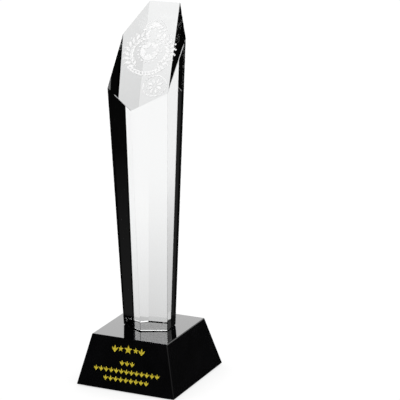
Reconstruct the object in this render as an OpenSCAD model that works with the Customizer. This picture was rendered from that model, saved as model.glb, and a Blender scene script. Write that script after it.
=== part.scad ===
// Column trophy: a seven-sided clear crystal column, cut off on a slant and glued
// upright on a black crystal plinth, with a gold frieze and a frosted emblem.
//
// Frame: millimetres, +Z up, the front looks along -Y. The origin is the middle
// of the foot pad's underside, on the surface that the trophy stands on.
//
// Every crystal block is the intersection of half-spaces, one for each polished
// face and one for each polished bevel, so all its faces are true planes.

/* [Plinth] */
// Width of the plinth at its foot
base_w = 80; // [72:1:110]
// Width of the plinth at its top
base_top_w = 61.2; // [58:0.1:66]
// Height of the plinth block
base_h = 37.7; // [35:0.1:50]
// Width of the polished bevels on the plinth
base_bevel = 0.7; // [0.3:0.1:1.2]
// Thickness of the foam pad under the plinth
pad_t = 1; // [0.6:0.1:2]
// Distance from the plinth's edge to the edge of the foam pad
pad_inset = 2.5; // [1:0.5:6]

/* [Column faces at the foot] */
// Distance from the axis to each side face
side_r = 18.05; // [17:0.05:20]
// Distance from the axis to each of the two front faces
front_r = 12.12; // [11:0.02:14]
// Distance from the axis to each back chamfer
chamfer_r = 19.05; // [17.5:0.05:20]
// Distance from the axis to the back face
back_r = 18.8; // [18:0.05:22]
// Angle of each front face from square on
front_angle = 23.7; // [20:0.1:28.5]
// Angle of each back chamfer from the side
chamfer_angle = 39.5; // [38:0.1:48]

/* [Column lean and height] */
// Outward lean of the side faces
side_lean = 1.95; // [0:0.05:2.5]
// Outward lean of the front faces
front_lean = 1.1; // [0.8:0.05:2.5]
// Outward lean of the back chamfers
chamfer_lean = 3.9; // [2.4:0.05:4.4]
// Outward lean of the back face
back_lean = 5.25; // [3.8:0.05:6]
// Height of the slanted cut above the plinth, on the axis
cut_h = 186.2; // [150:0.1:220]
// Slope of the slanted cut above level
cut_slope = 50; // [44:0.1:53]
// Width of the polished bevels on the column
bevel = 0.4; // [0.2:0.1:0.8]
// Width of the polished bevel round the column's foot
foot_bevel = 0.9; // [0.4:0.1:1.4]

/* [Bond under the column] */
// Thickness of the adhesive film under the column
foot_film_t = 0.2; // [0.1:0.05:0.4]
// Distance from the column's foot edge to the edge of the film
foot_film_inset = 0.8; // [0.5:0.1:2]

/* [Decoration] */
// Depth of the blasted pockets
blast_depth = 0.3; // [0.2:0.05:0.5]
// Thickness of the fill in the blasted pockets
fill_t = 0.25; // [0.1:0.05:0.25]
// Size of the emblem on the slanted face, as a share of its full size
emblem_size = 1; // [0.7:0.02:1]
// Distance of the emblem up the slanted face from the axis
emblem_up = 21; // [20:0.5:24]
// Turn of the emblem on the slanted face
emblem_turn = 3; // [0:1:5]
// Size of the frieze on the plinth, as a share of its full size
frieze_size = 1; // [0.7:0.02:1]

/* [Hidden] */
$fn = 64;
far = 400;                                  // half size of a half-space block
z_base = pad_t;                            // underside of the plinth
z_top = pad_t + base_h;                    // top of the plinth
z_foot = z_top + foot_film_t;               // foot of the column
base_lean = -atan((base_w - base_top_w) / 2 / base_h);
// The emblem shrinks with a slanted face that is narrower than this
emblem_k = emblem_size * min(1, (side_r + cut_h * tan(side_lean)) / 24.3);

// A plane is [unit normal, distance]; the block lies where n * p <= distance.
// The face at plan angle a passes r from the axis at height z and leans outward.
function face(a, r, lean, z) =
    [[cos(a) * cos(lean), sin(a) * cos(lean), -sin(lean)], r * cos(lean) - z * sin(lean)];
function level_up(z) = [[0, 0, 1], z];
function level_down(z) = [[0, 0, -1], -z];
function flip(p) = [-p[0], -p[1]];
function shift(p, t) = [p[0], p[1] + t];
// The bevel of width b between two planes
function bevel_of(p, q, b) =
    let (s = p[0] + q[0], l = norm(s))
    [s / l, (p[1] + q[1]) / l - b / 2 * tan(acos(p[0] * q[0]) / 2)];
function ring_bevels(ps, b) =
    [for (i = [0 : len(ps) - 1]) bevel_of(ps[i], ps[(i + 1) % len(ps)], b)];
function rim_bevels(ps, q, b) = [for (p = ps) bevel_of(p, q, b)];

// Plinth planes
base_sides = [for (a = [-90, 0, 90, 180]) face(a, base_w / 2, base_lean, z_base)];
base_planes = concat(
    base_sides, [level_up(z_top), level_down(z_base)],
    ring_bevels(base_sides, base_bevel),
    rim_bevels(base_sides, level_up(z_top), base_bevel),
    rim_bevels(base_sides, level_down(z_base), base_bevel));

// Column planes
col_sides = [
    face(-90 + front_angle, front_r, front_lean, z_foot),
    face(0, side_r, side_lean, z_foot),
    face(chamfer_angle, chamfer_r, chamfer_lean, z_foot),
    face(90, back_r, back_lean, z_foot),
    face(180 - chamfer_angle, chamfer_r, chamfer_lean, z_foot),
    face(180, side_r, side_lean, z_foot),
    face(-90 - front_angle, front_r, front_lean, z_foot)];
cut = [[0, -sin(cut_slope), cos(cut_slope)], (z_foot + cut_h) * cos(cut_slope)];
col_planes = concat(
    col_sides, [cut, level_down(z_foot)],
    ring_bevels(col_sides, bevel),
    rim_bevels(col_sides, cut, bevel),
    rim_bevels(col_sides, level_down(z_foot), foot_bevel));

module half_space(p)
    rotate([0, acos(p[0].z), atan2(p[0].y, p[0].x)])
    translate([-far, -far, p[1] - 2 * far]) cube([2 * far, 2 * far, 2 * far]);
module block(planes) intersection_for(p = planes) half_space(p);

// Flat ornaments
module leaf(l, w) {
    r = (l * l + w * w) / 4 / w;
    intersection() {
        translate([0, r - w / 2]) circle(r);
        translate([0, w / 2 - r]) circle(r);
    }
}
module star(r, inner = 0.42)
    polygon([for (i = [0 : 9])
        let (a = 90 + i * 36, q = i % 2 == 0 ? r : r * inner) [q * cos(a), q * sin(a)]]);
module lozenge(w, h) polygon([[-w / 2, 0], [0, -h / 2], [w / 2, 0], [0, h / 2]]);
module sided() for (m = [0, 1]) mirror([m, 0]) children();

// A point on the wreath's branch and the branch's direction there
wreath_a = 15.2;
wreath_b = 13.6;
function branch(a) = [wreath_a * cos(a), wreath_b * sin(a)];
function branch_dir(a) = atan2(wreath_b * cos(a), -wreath_a * sin(a));

// A flat ring, and the part of a ring that lies between two plan angles
module ring(r, w) difference() { circle(r); circle(r - w); }
module arc_band(r, w, a0, a1) intersection() {
    ring(r, w);
    polygon([[0, 0], 2 * r * [cos(a0), sin(a0)], 2 * r * [cos((a0 + a1) / 2), sin((a0 + a1) / 2)],
             2 * r * [cos(a1), sin(a1)]]);
}

// Laurel wreath round a star, a palmette over it, and a ribbon and a medallion under it
module emblem_shapes() scale(emblem_k) {
    // disc round a clear star, in a ring of lozenges
    translate([0, 1]) {
        difference() { circle(7.4); star(6); }
        for (a = [0 : 20 : 340]) rotate(a) translate([9, 0]) lozenge(2, 1.7);
    }
    sided() {
        // branch
        polygon(concat(
            [for (a = [-58 : 8 : 70]) branch(a)],
            [for (a = [70 : -8 : -58])
                branch(a) + 0.6 * [cos(branch_dir(a) + 90), sin(branch_dir(a) + 90)]]));
        // leaves, outer and inner
        for (i = [0 : 9]) {
            a = -54 + i * 13.4;
            translate(branch(a)) rotate(branch_dir(a)) {
                rotate(-42) translate([3.1, -0.2]) leaf(6 - 0.08 * i, 2.3);
                rotate(38) translate([2.5, 0.5]) leaf(4.6 - 0.06 * i, 1.9);
            }
        }
        translate(branch(75)) rotate(branch_dir(75)) leaf(4, 1.9);
        // berries outside the branch
        for (i = [0 : 6]) let (a = -32 + i * 13.4)
            translate([(wreath_a + 5) * cos(a), (wreath_b + 5) * sin(a)]) circle(0.7);
        translate([7.8, 18]) rotate(-24) star(2.2);
    }
    // palmette
    translate([0, 18.2]) {
        circle(1);
        for (a = [-72 : 18 : 72]) rotate(a) {
            translate([0, 4.2]) rotate(90) leaf(5.4, 1.9);
            translate([0, 8]) circle(0.7);
        }
    }
    // ribbon
    translate([0, 1.5]) {
        difference() {
            arc_band(20.3, 3.2, 224, 316);
            for (a = [-40 : 8 : 40]) rotate(a - 90) translate([18.7, 0]) lozenge(1.9, 1.9);
        }
    }
    // medallion
    translate([10.9, -26.6]) {
        scale([9.4, 8.4]) difference() { circle(1); circle(0.92); }
        rotate(-20) {
            circle(0.9);
            for (a = [0 : 45 : 315]) rotate(a) translate([4, 0]) leaf(4.4, 1.9);
            for (a = [22.5 : 45 : 337.5]) rotate(a) translate([6.2, 0]) lozenge(1.4, 1.1);
        }
    }
}

// A three-leaved sprig of height h, and one row of the frieze: n sprigs on each side
// of a middle sprig
module sprig(h) translate([0, -h / 2]) {
    circle(h * 0.13);
    translate([0, h / 2]) rotate(90) leaf(h, h * 0.32);
    sided() rotate(-38) translate([0, h * 0.43]) rotate(90) leaf(h * 0.86, h * 0.28);
}
module sprig_row(n, pitch, h) for (i = [-n : n]) translate([i * pitch, 0]) sprig(h);
module frieze_shapes() translate([0, 19]) scale(frieze_size) translate([0, -19]) {
    translate([0, 30.9]) {
        star(3.5);
        sided() {
            translate([6.1, 0]) star(2.4);
            translate([10.9, 0]) sprig(4.6);
        }
    }
    translate([0, 21.1]) sprig_row(1, 4.15, 3.5);
    translate([0, 15]) sprig_row(6, 4.15, 3.5);
    translate([0, 8.9]) sprig_row(4, 4.15, 3.5);
}

// Frames of the two decorated faces: z is outward, y is up the face
module on_front() translate([0, -base_w / 2, z_base]) rotate([90 + base_lean, 0, 0]) children();
module on_cut()
    translate([0, 0, z_foot + cut_h]) rotate([cut_slope, 0, 0]) translate([0.2, emblem_up, 0])
    rotate(emblem_turn) children();
module pocket() translate([0, 0, -blast_depth]) linear_extrude(blast_depth + 1) children();
module infill() translate([0, 0, -blast_depth]) linear_extrude(min(fill_t, blast_depth - 0.05)) children();

module base_block() color([0.03, 0.03, 0.035]) difference() {
    block(base_planes);
    on_front() pocket() frieze_shapes();
}
module foot_pad() color([0.2, 0.2, 0.21]) {
    w = base_w / 2 - pad_inset;
    r = 4;
    translate([-w, r - w, 0]) cube([2 * w, 2 * (w - r), pad_t]);
    translate([r - w, -w, 0]) cube([2 * (w - r), 2 * w, pad_t]);
    for (x = [r - w, w - r], y = [r - w, w - r]) translate([x, y, 0]) cylinder(h = pad_t, r = r);
}
module foot_adhesive() color([0.85, 0.86, 0.84]) block(concat(
    [for (p = col_sides) let (n = [p[0].x, p[0].y, 0], l = norm(n))
        [n / l, (p[1] - z_foot * p[0].z) / l - foot_film_inset]],
    [level_up(z_foot), level_down(z_top)]));
module crystal_column() color([0.86, 0.92, 0.93, 0.4]) difference() {
    block(col_planes);
    on_cut() pocket() emblem_shapes();
}
module gold_infill() color([0.85, 0.7, 0.15]) on_front() infill() frieze_shapes();
module frosted_emblem() color([0.96, 0.96, 0.96]) on_cut() infill() emblem_shapes();

base_block();
foot_pad();
foot_adhesive();
crystal_column();
gold_infill();
frosted_emblem();
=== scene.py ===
import math

import bmesh
import bpy
from mathutils import Matrix, Vector


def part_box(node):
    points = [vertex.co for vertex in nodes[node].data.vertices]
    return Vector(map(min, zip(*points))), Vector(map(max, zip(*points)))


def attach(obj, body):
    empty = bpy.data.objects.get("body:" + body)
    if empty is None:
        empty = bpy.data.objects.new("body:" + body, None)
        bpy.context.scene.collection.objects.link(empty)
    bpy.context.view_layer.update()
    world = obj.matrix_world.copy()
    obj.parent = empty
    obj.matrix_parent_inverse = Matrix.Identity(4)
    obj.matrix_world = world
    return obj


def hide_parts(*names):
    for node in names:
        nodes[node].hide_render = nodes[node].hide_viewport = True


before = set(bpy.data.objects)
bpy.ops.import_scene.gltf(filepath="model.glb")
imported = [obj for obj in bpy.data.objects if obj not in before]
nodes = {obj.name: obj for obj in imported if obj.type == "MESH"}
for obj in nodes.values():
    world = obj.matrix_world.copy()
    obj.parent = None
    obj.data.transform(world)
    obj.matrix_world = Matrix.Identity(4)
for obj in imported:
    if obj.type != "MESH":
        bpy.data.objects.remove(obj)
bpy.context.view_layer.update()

scene = bpy.context.scene


# ---------------------------------------------------------------- node helpers
def material(name):
    m = bpy.data.materials.new(name)
    m.use_nodes = True
    nt = m.node_tree
    nt.nodes.clear()
    out = nt.nodes.new("ShaderNodeOutputMaterial")
    return m, nt, out


def ramp(nt, stops):
    n = nt.nodes.new("ShaderNodeValToRGB")
    e = n.color_ramp.elements
    while len(e) > 1:
        e.remove(e[-1])
    e[0].position, e[0].color = stops[0][0], stops[0][1]
    for p, c in stops[1:]:
        x = e.new(p)
        x.color = c
    return n


def grey(v):
    return (v, v, v, 1.0)


def object_coord(nt, scale=1.0):
    tc = nt.nodes.new("ShaderNodeTexCoord")
    mp = nt.nodes.new("ShaderNodeMapping")
    mp.inputs["Scale"].default_value = (scale,) * 3
    nt.links.new(tc.outputs["Object"], mp.inputs["Vector"])
    return mp.outputs["Vector"]


def noise(nt, vec, scale, detail=3.0, rough=0.5):
    n = nt.nodes.new("ShaderNodeTexNoise")
    n.inputs["Scale"].default_value = scale
    n.inputs["Detail"].default_value = detail
    n.inputs["Roughness"].default_value = rough
    nt.links.new(vec, n.inputs["Vector"])
    return n.outputs["Fac"]


# ---------------------------------------------------------------- materials
def clear_crystal():
    m, nt, out = material("clear_crystal")
    b = nt.nodes.new("ShaderNodeBsdfPrincipled")
    b.inputs["Base Color"].default_value = (0.985, 0.99, 0.99, 1)
    b.inputs["Transmission Weight"].default_value = 1.0
    b.inputs["IOR"].default_value = 1.52
    vec = object_coord(nt)
    n = noise(nt, vec, 30.0, 4.0)
    r = ramp(nt, [(0.3, grey(0.0)), (0.8, grey(0.012))])
    nt.links.new(n, r.inputs["Fac"])
    nt.links.new(r.outputs["Color"], b.inputs["Roughness"])
    nt.links.new(b.outputs["BSDF"], out.inputs["Surface"])
    return m


def black_crystal(name="black_crystal", spec=0.5):
    m, nt, out = material(name)
    b = nt.nodes.new("ShaderNodeBsdfPrincipled")
    b.inputs["IOR"].default_value = 1.52
    vec = object_coord(nt)
    n = noise(nt, vec, 60.0, 5.0)
    c = ramp(nt, [(0.35, (0.0012, 0.0012, 0.0014, 1)), (0.75, (0.0026, 0.0026, 0.003, 1))])
    nt.links.new(n, c.inputs["Fac"])
    nt.links.new(c.outputs["Color"], b.inputs["Base Color"])
    n2 = noise(nt, vec, 22.0, 6.0, 0.6)
    r = ramp(nt, [(0.35, grey(0.012)), (0.8, grey(0.05))])
    nt.links.new(n2, r.inputs["Fac"])
    nt.links.new(r.outputs["Color"], b.inputs["Roughness"])
    nt.links.new(b.outputs["BSDF"], out.inputs["Surface"])
    return m


def clear_bond():
    """Clear cured adhesive over the black plinth: dark from above, a weak mirror at a low
    angle."""
    m, nt, out = material("clear_bond")
    b = nt.nodes.new("ShaderNodeBsdfPrincipled")
    b.inputs["Roughness"].default_value = 0.06
    b.inputs["IOR"].default_value = 1.2
    vec = object_coord(nt)
    n = noise(nt, vec, 400.0, 4.0)
    c = ramp(nt, [(0.3, (0.0008, 0.0008, 0.001, 1)), (0.8, (0.002, 0.002, 0.0022, 1))])
    nt.links.new(n, c.inputs["Fac"])
    nt.links.new(c.outputs["Color"], b.inputs["Base Color"])
    nt.links.new(b.outputs["BSDF"], out.inputs["Surface"])
    return m


def gold_paint():
    m, nt, out = material("gold_paint")
    b = nt.nodes.new("ShaderNodeBsdfPrincipled")
    b.inputs["Metallic"].default_value = 0.2
    vec = object_coord(nt)
    n = noise(nt, vec, 900.0, 4.0)
    c = ramp(nt, [(0.3, (0.60, 0.45, 0.010, 1)), (0.7, (0.98, 0.82, 0.06, 1))])
    nt.links.new(n, c.inputs["Fac"])
    nt.links.new(c.outputs["Color"], b.inputs["Base Color"])
    r = ramp(nt, [(0.3, grey(0.32)), (0.8, grey(0.5))])
    nt.links.new(n, r.inputs["Fac"])
    nt.links.new(r.outputs["Color"], b.inputs["Roughness"])
    bp = nt.nodes.new("ShaderNodeBump")
    bp.inputs["Strength"].default_value = 0.3
    bp.inputs["Distance"].default_value = 0.00005
    nt.links.new(n, bp.inputs["Height"])
    nt.links.new(bp.outputs["Normal"], b.inputs["Normal"])
    nt.links.new(b.outputs["BSDF"], out.inputs["Surface"])
    return m


def frosted_white():
    m, nt, out = material("frosted_white")
    b = nt.nodes.new("ShaderNodeBsdfPrincipled")
    vec = object_coord(nt)
    n = noise(nt, vec, 1000.0, 2.0)
    c = ramp(nt, [(0.38, grey(0.78)), (0.52, grey(0.99))])
    nt.links.new(n, c.inputs["Fac"])
    nt.links.new(c.outputs["Color"], b.inputs["Base Color"])
    b.inputs["Roughness"].default_value = 0.9
    b.inputs["Specular IOR Level"].default_value = 0.1
    # painted glow: an emission in the frosting's own colour stands in for the light that the crystal under
    # the frosting scatters back out
    nt.links.new(c.outputs["Color"], b.inputs["Emission Color"])
    b.inputs["Emission Strength"].default_value = 0.2
    fine = noise(nt, vec, 1800.0, 3.0)
    bp = nt.nodes.new("ShaderNodeBump")
    bp.inputs["Strength"].default_value = 0.2
    bp.inputs["Distance"].default_value = 0.00003
    nt.links.new(fine, bp.inputs["Height"])
    nt.links.new(bp.outputs["Normal"], b.inputs["Normal"])
    nt.links.new(b.outputs["BSDF"], out.inputs["Surface"])
    return m


def foam_rubber():
    m, nt, out = material("foam_rubber")
    b = nt.nodes.new("ShaderNodeBsdfPrincipled")
    b.inputs["Roughness"].default_value = 0.85
    b.inputs["Specular IOR Level"].default_value = 0.25
    vec = object_coord(nt)
    v = nt.nodes.new("ShaderNodeTexVoronoi")
    v.inputs["Scale"].default_value = 1400.0
    nt.links.new(vec, v.inputs["Vector"])
    c = ramp(nt, [(0.0, (0.018, 0.018, 0.019, 1)), (0.6, (0.05, 0.05, 0.052, 1))])
    nt.links.new(v.outputs["Distance"], c.inputs["Fac"])
    nt.links.new(c.outputs["Color"], b.inputs["Base Color"])
    bp = nt.nodes.new("ShaderNodeBump")
    bp.inputs["Strength"].default_value = 0.6
    bp.inputs["Distance"].default_value = 0.0002
    nt.links.new(v.outputs["Distance"], bp.inputs["Height"])
    nt.links.new(bp.outputs["Normal"], b.inputs["Normal"])
    nt.links.new(b.outputs["BSDF"], out.inputs["Surface"])
    return m


def assign(node, mat):
    o = nodes[node]
    o.data.materials.clear()
    o.data.materials.append(mat)


assign("base_block", black_crystal())
assign("crystal_column", clear_crystal())
assign("gold_infill", gold_paint())
assign("frosted_emblem", frosted_white())
assign("foot_pad", foam_rubber())


# ---------------------------------------------------------------- bond under the column
def foot_bond():
    """The cured film in the foot_adhesive node's shape. It wets the column's foot, so its
    top reaches a hair into it."""
    me = nodes["foot_adhesive"].data.copy()
    me.name = "foot_bond"
    o = bpy.data.objects.new("foot_bond", me)
    scene.collection.objects.link(o)
    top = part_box("foot_adhesive")[1][2]
    for v in me.vertices:
        if v.co.z > top - 0.00005:
            v.co.z += 0.00003
    me.materials.clear()
    me.materials.append(clear_bond())
    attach(o, "root")
    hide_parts("foot_adhesive")
    return o


foot_bond()


# ---------------------------------------------------------------- floor and light
def math_node(nt, op, a, b=None, clamp=False):
    n = nt.nodes.new("ShaderNodeMath")
    n.operation = op
    n.use_clamp = clamp
    for i, x in enumerate((a, b)):
        if x is None:
            continue
        if isinstance(x, (int, float)):
            n.inputs[i].default_value = x
        else:
            nt.links.new(x, n.inputs[i])
    return n.outputs[0]


def map_range(nt, value, a0, a1, b0, b1, smooth=True):
    n = nt.nodes.new("ShaderNodeMapRange")
    n.interpolation_type = "SMOOTHSTEP" if smooth else "LINEAR"
    for i, x in enumerate((value, a0, a1, b0, b1)):
        if isinstance(x, (int, float)):
            n.inputs[i].default_value = x
        else:
            nt.links.new(x, n.inputs[i])
    return n.outputs[0]


def toward(nt, vec, azimuth, narrow, wide, smooth=True):
    """1 within narrow degrees of a compass direction, 0 past wide degrees."""
    xy = nt.nodes.new("ShaderNodeVectorMath")
    xy.operation = "MULTIPLY"
    nt.links.new(vec, xy.inputs[0])
    xy.inputs[1].default_value = (1, 1, 0)
    unit = nt.nodes.new("ShaderNodeVectorMath")
    unit.operation = "NORMALIZE"
    nt.links.new(xy.outputs["Vector"], unit.inputs[0])
    dot = nt.nodes.new("ShaderNodeVectorMath")
    dot.operation = "DOT_PRODUCT"
    nt.links.new(unit.outputs["Vector"], dot.inputs[0])
    a = math.radians(azimuth)
    dot.inputs[1].default_value = (math.cos(a), math.sin(a), 0)
    return map_range(nt, dot.outputs["Value"], math.cos(math.radians(wide)),
                     math.cos(math.radians(narrow)), 0.0, 1.0, smooth)


def mix_float(nt, factor, a, b):
    n = nt.nodes.new("ShaderNodeMix")
    n.data_type = "FLOAT"
    for k, x in (("Factor", factor), ("A", a), ("B", b)):
        if isinstance(x, (int, float)):
            n.inputs[k].default_value = x
        else:
            nt.links.new(x, n.inputs[k])
    return n.outputs["Result"]


# The studio seen through the crystal: a lit sweep behind the trophy, a bright ceiling and
# dark surroundings on the camera's side
SWEEP_AZ, SWEEP_IN, SWEEP_OUT = 117.0, 42.0, 58.0
SWEEP_SKY = 2.3
GLOW_AZ, GLOW_IN, GLOW_OUT, GLOW = -24.0, 12.0, 24.0, 0.0105
BOX_AZ, BOX_IN, BOX_OUT, BOX = 28.0, 8.0, 20.0, 0.018
GLOOM = 0.0012


def floor():
    """A pale floor that glows. For the camera it is evenly bright, with a painted contact shadow next to the
    trophy. Seen through the crystal it is painted light and shade: it falls off towards the trophy, as a lit
    sweep does, and it is dark away from the lit side."""
    me = bpy.data.meshes.new("studio_floor")
    bm = bmesh.new()
    n = 96
    rings = [0.0, 0.06, 0.12, 0.25, 0.5, 1.0, 2.0, 4.0, 8.0]
    prev = [bm.verts.new((0, 0, 0))]
    for r in rings[1:]:
        cur = [bm.verts.new((r * math.cos(2 * math.pi * i / n), r * math.sin(2 * math.pi * i / n), 0))
               for i in range(n)]
        for i in range(n):
            if len(prev) == 1:
                bm.faces.new((prev[0], cur[i], cur[(i + 1) % n]))
            else:
                bm.faces.new((prev[i], cur[i], cur[(i + 1) % n], prev[(i + 1) % n]))
        prev = cur
    bm.to_mesh(me)
    bm.free()
    o = bpy.data.objects.new("studio_floor", me)
    scene.collection.objects.link(o)
    m, nt, out = material("studio_floor")
    geo = nt.nodes.new("ShaderNodeNewGeometry")
    ln = nt.nodes.new("ShaderNodeVectorMath")
    ln.operation = "LENGTH"
    nt.links.new(geo.outputs["Position"], ln.inputs[0])
    r = ln.outputs["Value"]
    fall = nt.nodes.new("ShaderNodeFloatCurve")
    scaled = math_node(nt, "MULTIPLY", r, 1.0, clamp=True)
    nt.links.new(scaled, fall.inputs["Value"])
    c = fall.mapping.curves[0]
    c.points[0].location = (0.0, 0.60)
    c.points[1].location = (1.0, 1.0)
    for x, y in FLOOR_PAINTED_SHADE:
        c.points.new(x, y)
    fall.mapping.update()
    # painted light and shade for rays through the crystal: a lit sweep behind the trophy, darker near it and
    # at its sides
    sweep = toward(nt, geo.outputs["Position"], SWEEP_AZ, SWEEP_IN, SWEEP_OUT)
    near = math_node(nt, "MULTIPLY", map_range(nt, r, 0.26, 0.42, 0.8, 0.0),
                     toward(nt, geo.outputs["Position"], SWEEP_AZ, 55, 72))
    lit = math_node(nt, "MULTIPLY", fall.outputs["Value"], math_node(nt, "MAXIMUM", sweep, near))
    side = math_node(nt, "ADD", 0.70, math_node(
        nt, "MULTIPLY", 0.44, toward(nt, geo.outputs["Position"], 108.0, 5, 50, False)))
    lit = math_node(nt, "MULTIPLY", lit, mix_float(nt, map_range(nt, r, 0.35, 0.8, 0.0, 1.0), side, 1.04))
    # painted light: a dim pool on the floor towards the front left, fading with distance, seen through the
    # crystal
    glow = math_node(nt, "MULTIPLY", toward(nt, geo.outputs["Position"], GLOW_AZ, GLOW_IN, GLOW_OUT),
                     map_range(nt, r, 0.4, 3.5, GLOW, 0.0, False))
    studio = math_node(nt, "ADD", math_node(nt, "ADD", lit, glow), GLOOM)
    # painted contact shadow: ambient occlusion darkens the glowing floor next to the trophy for the camera
    ao = nt.nodes.new("ShaderNodeAmbientOcclusion")
    ao.samples = 8
    ao.inputs["Distance"].default_value = 0.03
    painted_contact_shadow = map_range(nt, ao.outputs["AO"], 0.0, 1.0, 0.72, 1.0, False)
    lp = nt.nodes.new("ShaderNodeLightPath")
    soft = mix_float(nt, lp.outputs["Is Transmission Ray"], 0.8, studio)
    shown = mix_float(nt, lp.outputs["Is Camera Ray"], soft, math_node(nt, "MULTIPLY", painted_contact_shadow, 1.03))
    em = nt.nodes.new("ShaderNodeEmission")
    nt.links.new(shown, em.inputs["Strength"])
    nt.links.new(em.outputs["Emission"], out.inputs["Surface"])
    me.materials.append(m)
    o.visible_glossy = False
    return o


# painted shade: brightness of the floor seen through the crystal by distance from the trophy, darker towards
# it
FLOOR_PAINTED_SHADE = [(0.1, 0.62), (0.2, 0.72), (0.3, 0.79), (0.4, 0.86), (0.6, 0.96)]
FLOOR = floor()

# Soft boxes, as lobes of the studio dome: direction, inner and outer cosine, strength
LOBES = [
    ((-0.42, 0.86, 0.29), 0.90, 0.60, 3.2),
    ((0.75, -0.25, 0.62), 0.96, 0.88, 0.9),
    ((-0.80, 0.30, 0.52), 0.96, 0.86, 0.8),
]
DARK = 0.02

w = bpy.data.worlds.new("studio")
scene.world = w
w.use_nodes = True
nt = w.node_tree
nt.nodes.clear()
wo = nt.nodes.new("ShaderNodeOutputWorld")
tc = nt.nodes.new("ShaderNodeTexCoord")
total = None
for d, inner, outer, power in LOBES:
    dot = nt.nodes.new("ShaderNodeVectorMath")
    dot.operation = "DOT_PRODUCT"
    nt.links.new(tc.outputs["Generated"], dot.inputs[0])
    dot.inputs[1].default_value = Vector(d).normalized()
    x = map_range(nt, dot.outputs["Value"], outer, inner, 0.0, power)
    total = x if total is None else math_node(nt, "ADD", total, x)
boxes = math_node(nt, "ADD", total, DARK)
sep = nt.nodes.new("ShaderNodeSeparateXYZ")
nt.links.new(tc.outputs["Generated"], sep.inputs[0])


def above(nt, z, low, high):
    """0 under an elevation of low degrees, 1 over high degrees."""
    return map_range(nt, z, math.sin(math.radians(low)), math.sin(math.radians(high)), 0.0, 1.0)


z = sep.outputs["Z"]
window = math_node(nt, "MULTIPLY", toward(nt, tc.outputs["Generated"], SWEEP_AZ, 22, 34),
                   math_node(nt, "SUBTRACT", above(nt, z, 10, 17), above(nt, z, 31, 42)))
# the ceiling is lit only to the far left
ceiling = math_node(nt, "MULTIPLY", above(nt, z, 25, 40), toward(nt, tc.outputs["Generated"], 180.0, 30, 50))
box = math_node(nt, "MULTIPLY", toward(nt, tc.outputs["Generated"], BOX_AZ, BOX_IN, BOX_OUT), BOX)
studio = math_node(nt, "MAXIMUM", math_node(nt, "MULTIPLY", window, SWEEP_SKY),
                   math_node(nt, "MAXIMUM", ceiling, box))
studio = math_node(nt, "ADD", studio, GLOOM)
lp = nt.nodes.new("ShaderNodeLightPath")
mirror = math_node(nt, "MULTIPLY", lp.outputs["Is Glossy Ray"],
                   math_node(nt, "SUBTRACT", 1.0, lp.outputs["Is Transmission Ray"]))
light = mix_float(nt, mirror, mix_float(nt, lp.outputs["Is Transmission Ray"], 1.03, studio), boxes)
bg = nt.nodes.new("ShaderNodeBackground")
nt.links.new(light, bg.inputs["Strength"])
nt.links.new(bg.outputs["Background"], wo.inputs["Surface"])

# ---------------------------------------------------------------- camera
AZ, EL, ROLL = math.radians(26.588), math.radians(16.781), math.radians(-1.329)
DIST, FPX, TR, TZ = 1.506118, 2089.063, 0.039749, 0.133989
back = Vector((math.sin(AZ) * math.cos(EL), -math.cos(AZ) * math.cos(EL), math.sin(EL)))
fwd = -back
right = fwd.cross(Vector((0, 0, 1))).normalized()
up = right.cross(fwd)
r2 = right * math.cos(ROLL) + up * math.sin(ROLL)
u2 = up * math.cos(ROLL) - right * math.sin(ROLL)
target = Vector((math.cos(AZ) * TR, math.sin(AZ) * TR, TZ))
cd = bpy.data.cameras.new("camera")
cam = bpy.data.objects.new("camera", cd)
scene.collection.objects.link(cam)
m = Matrix((
    (r2.x, u2.x, back.x, 0), (r2.y, u2.y, back.y, 0), (r2.z, u2.z, back.z, 0), (0, 0, 0, 1)))
m.translation = target + back * DIST
cam.matrix_world = m
cd.sensor_width = 36.0
cd.lens = FPX / 400 * 36.0
cd.clip_start, cd.clip_end = 0.05, 50
scene.camera = cam

scene.view_settings.view_transform = "Standard"
scene.view_settings.look = "None"
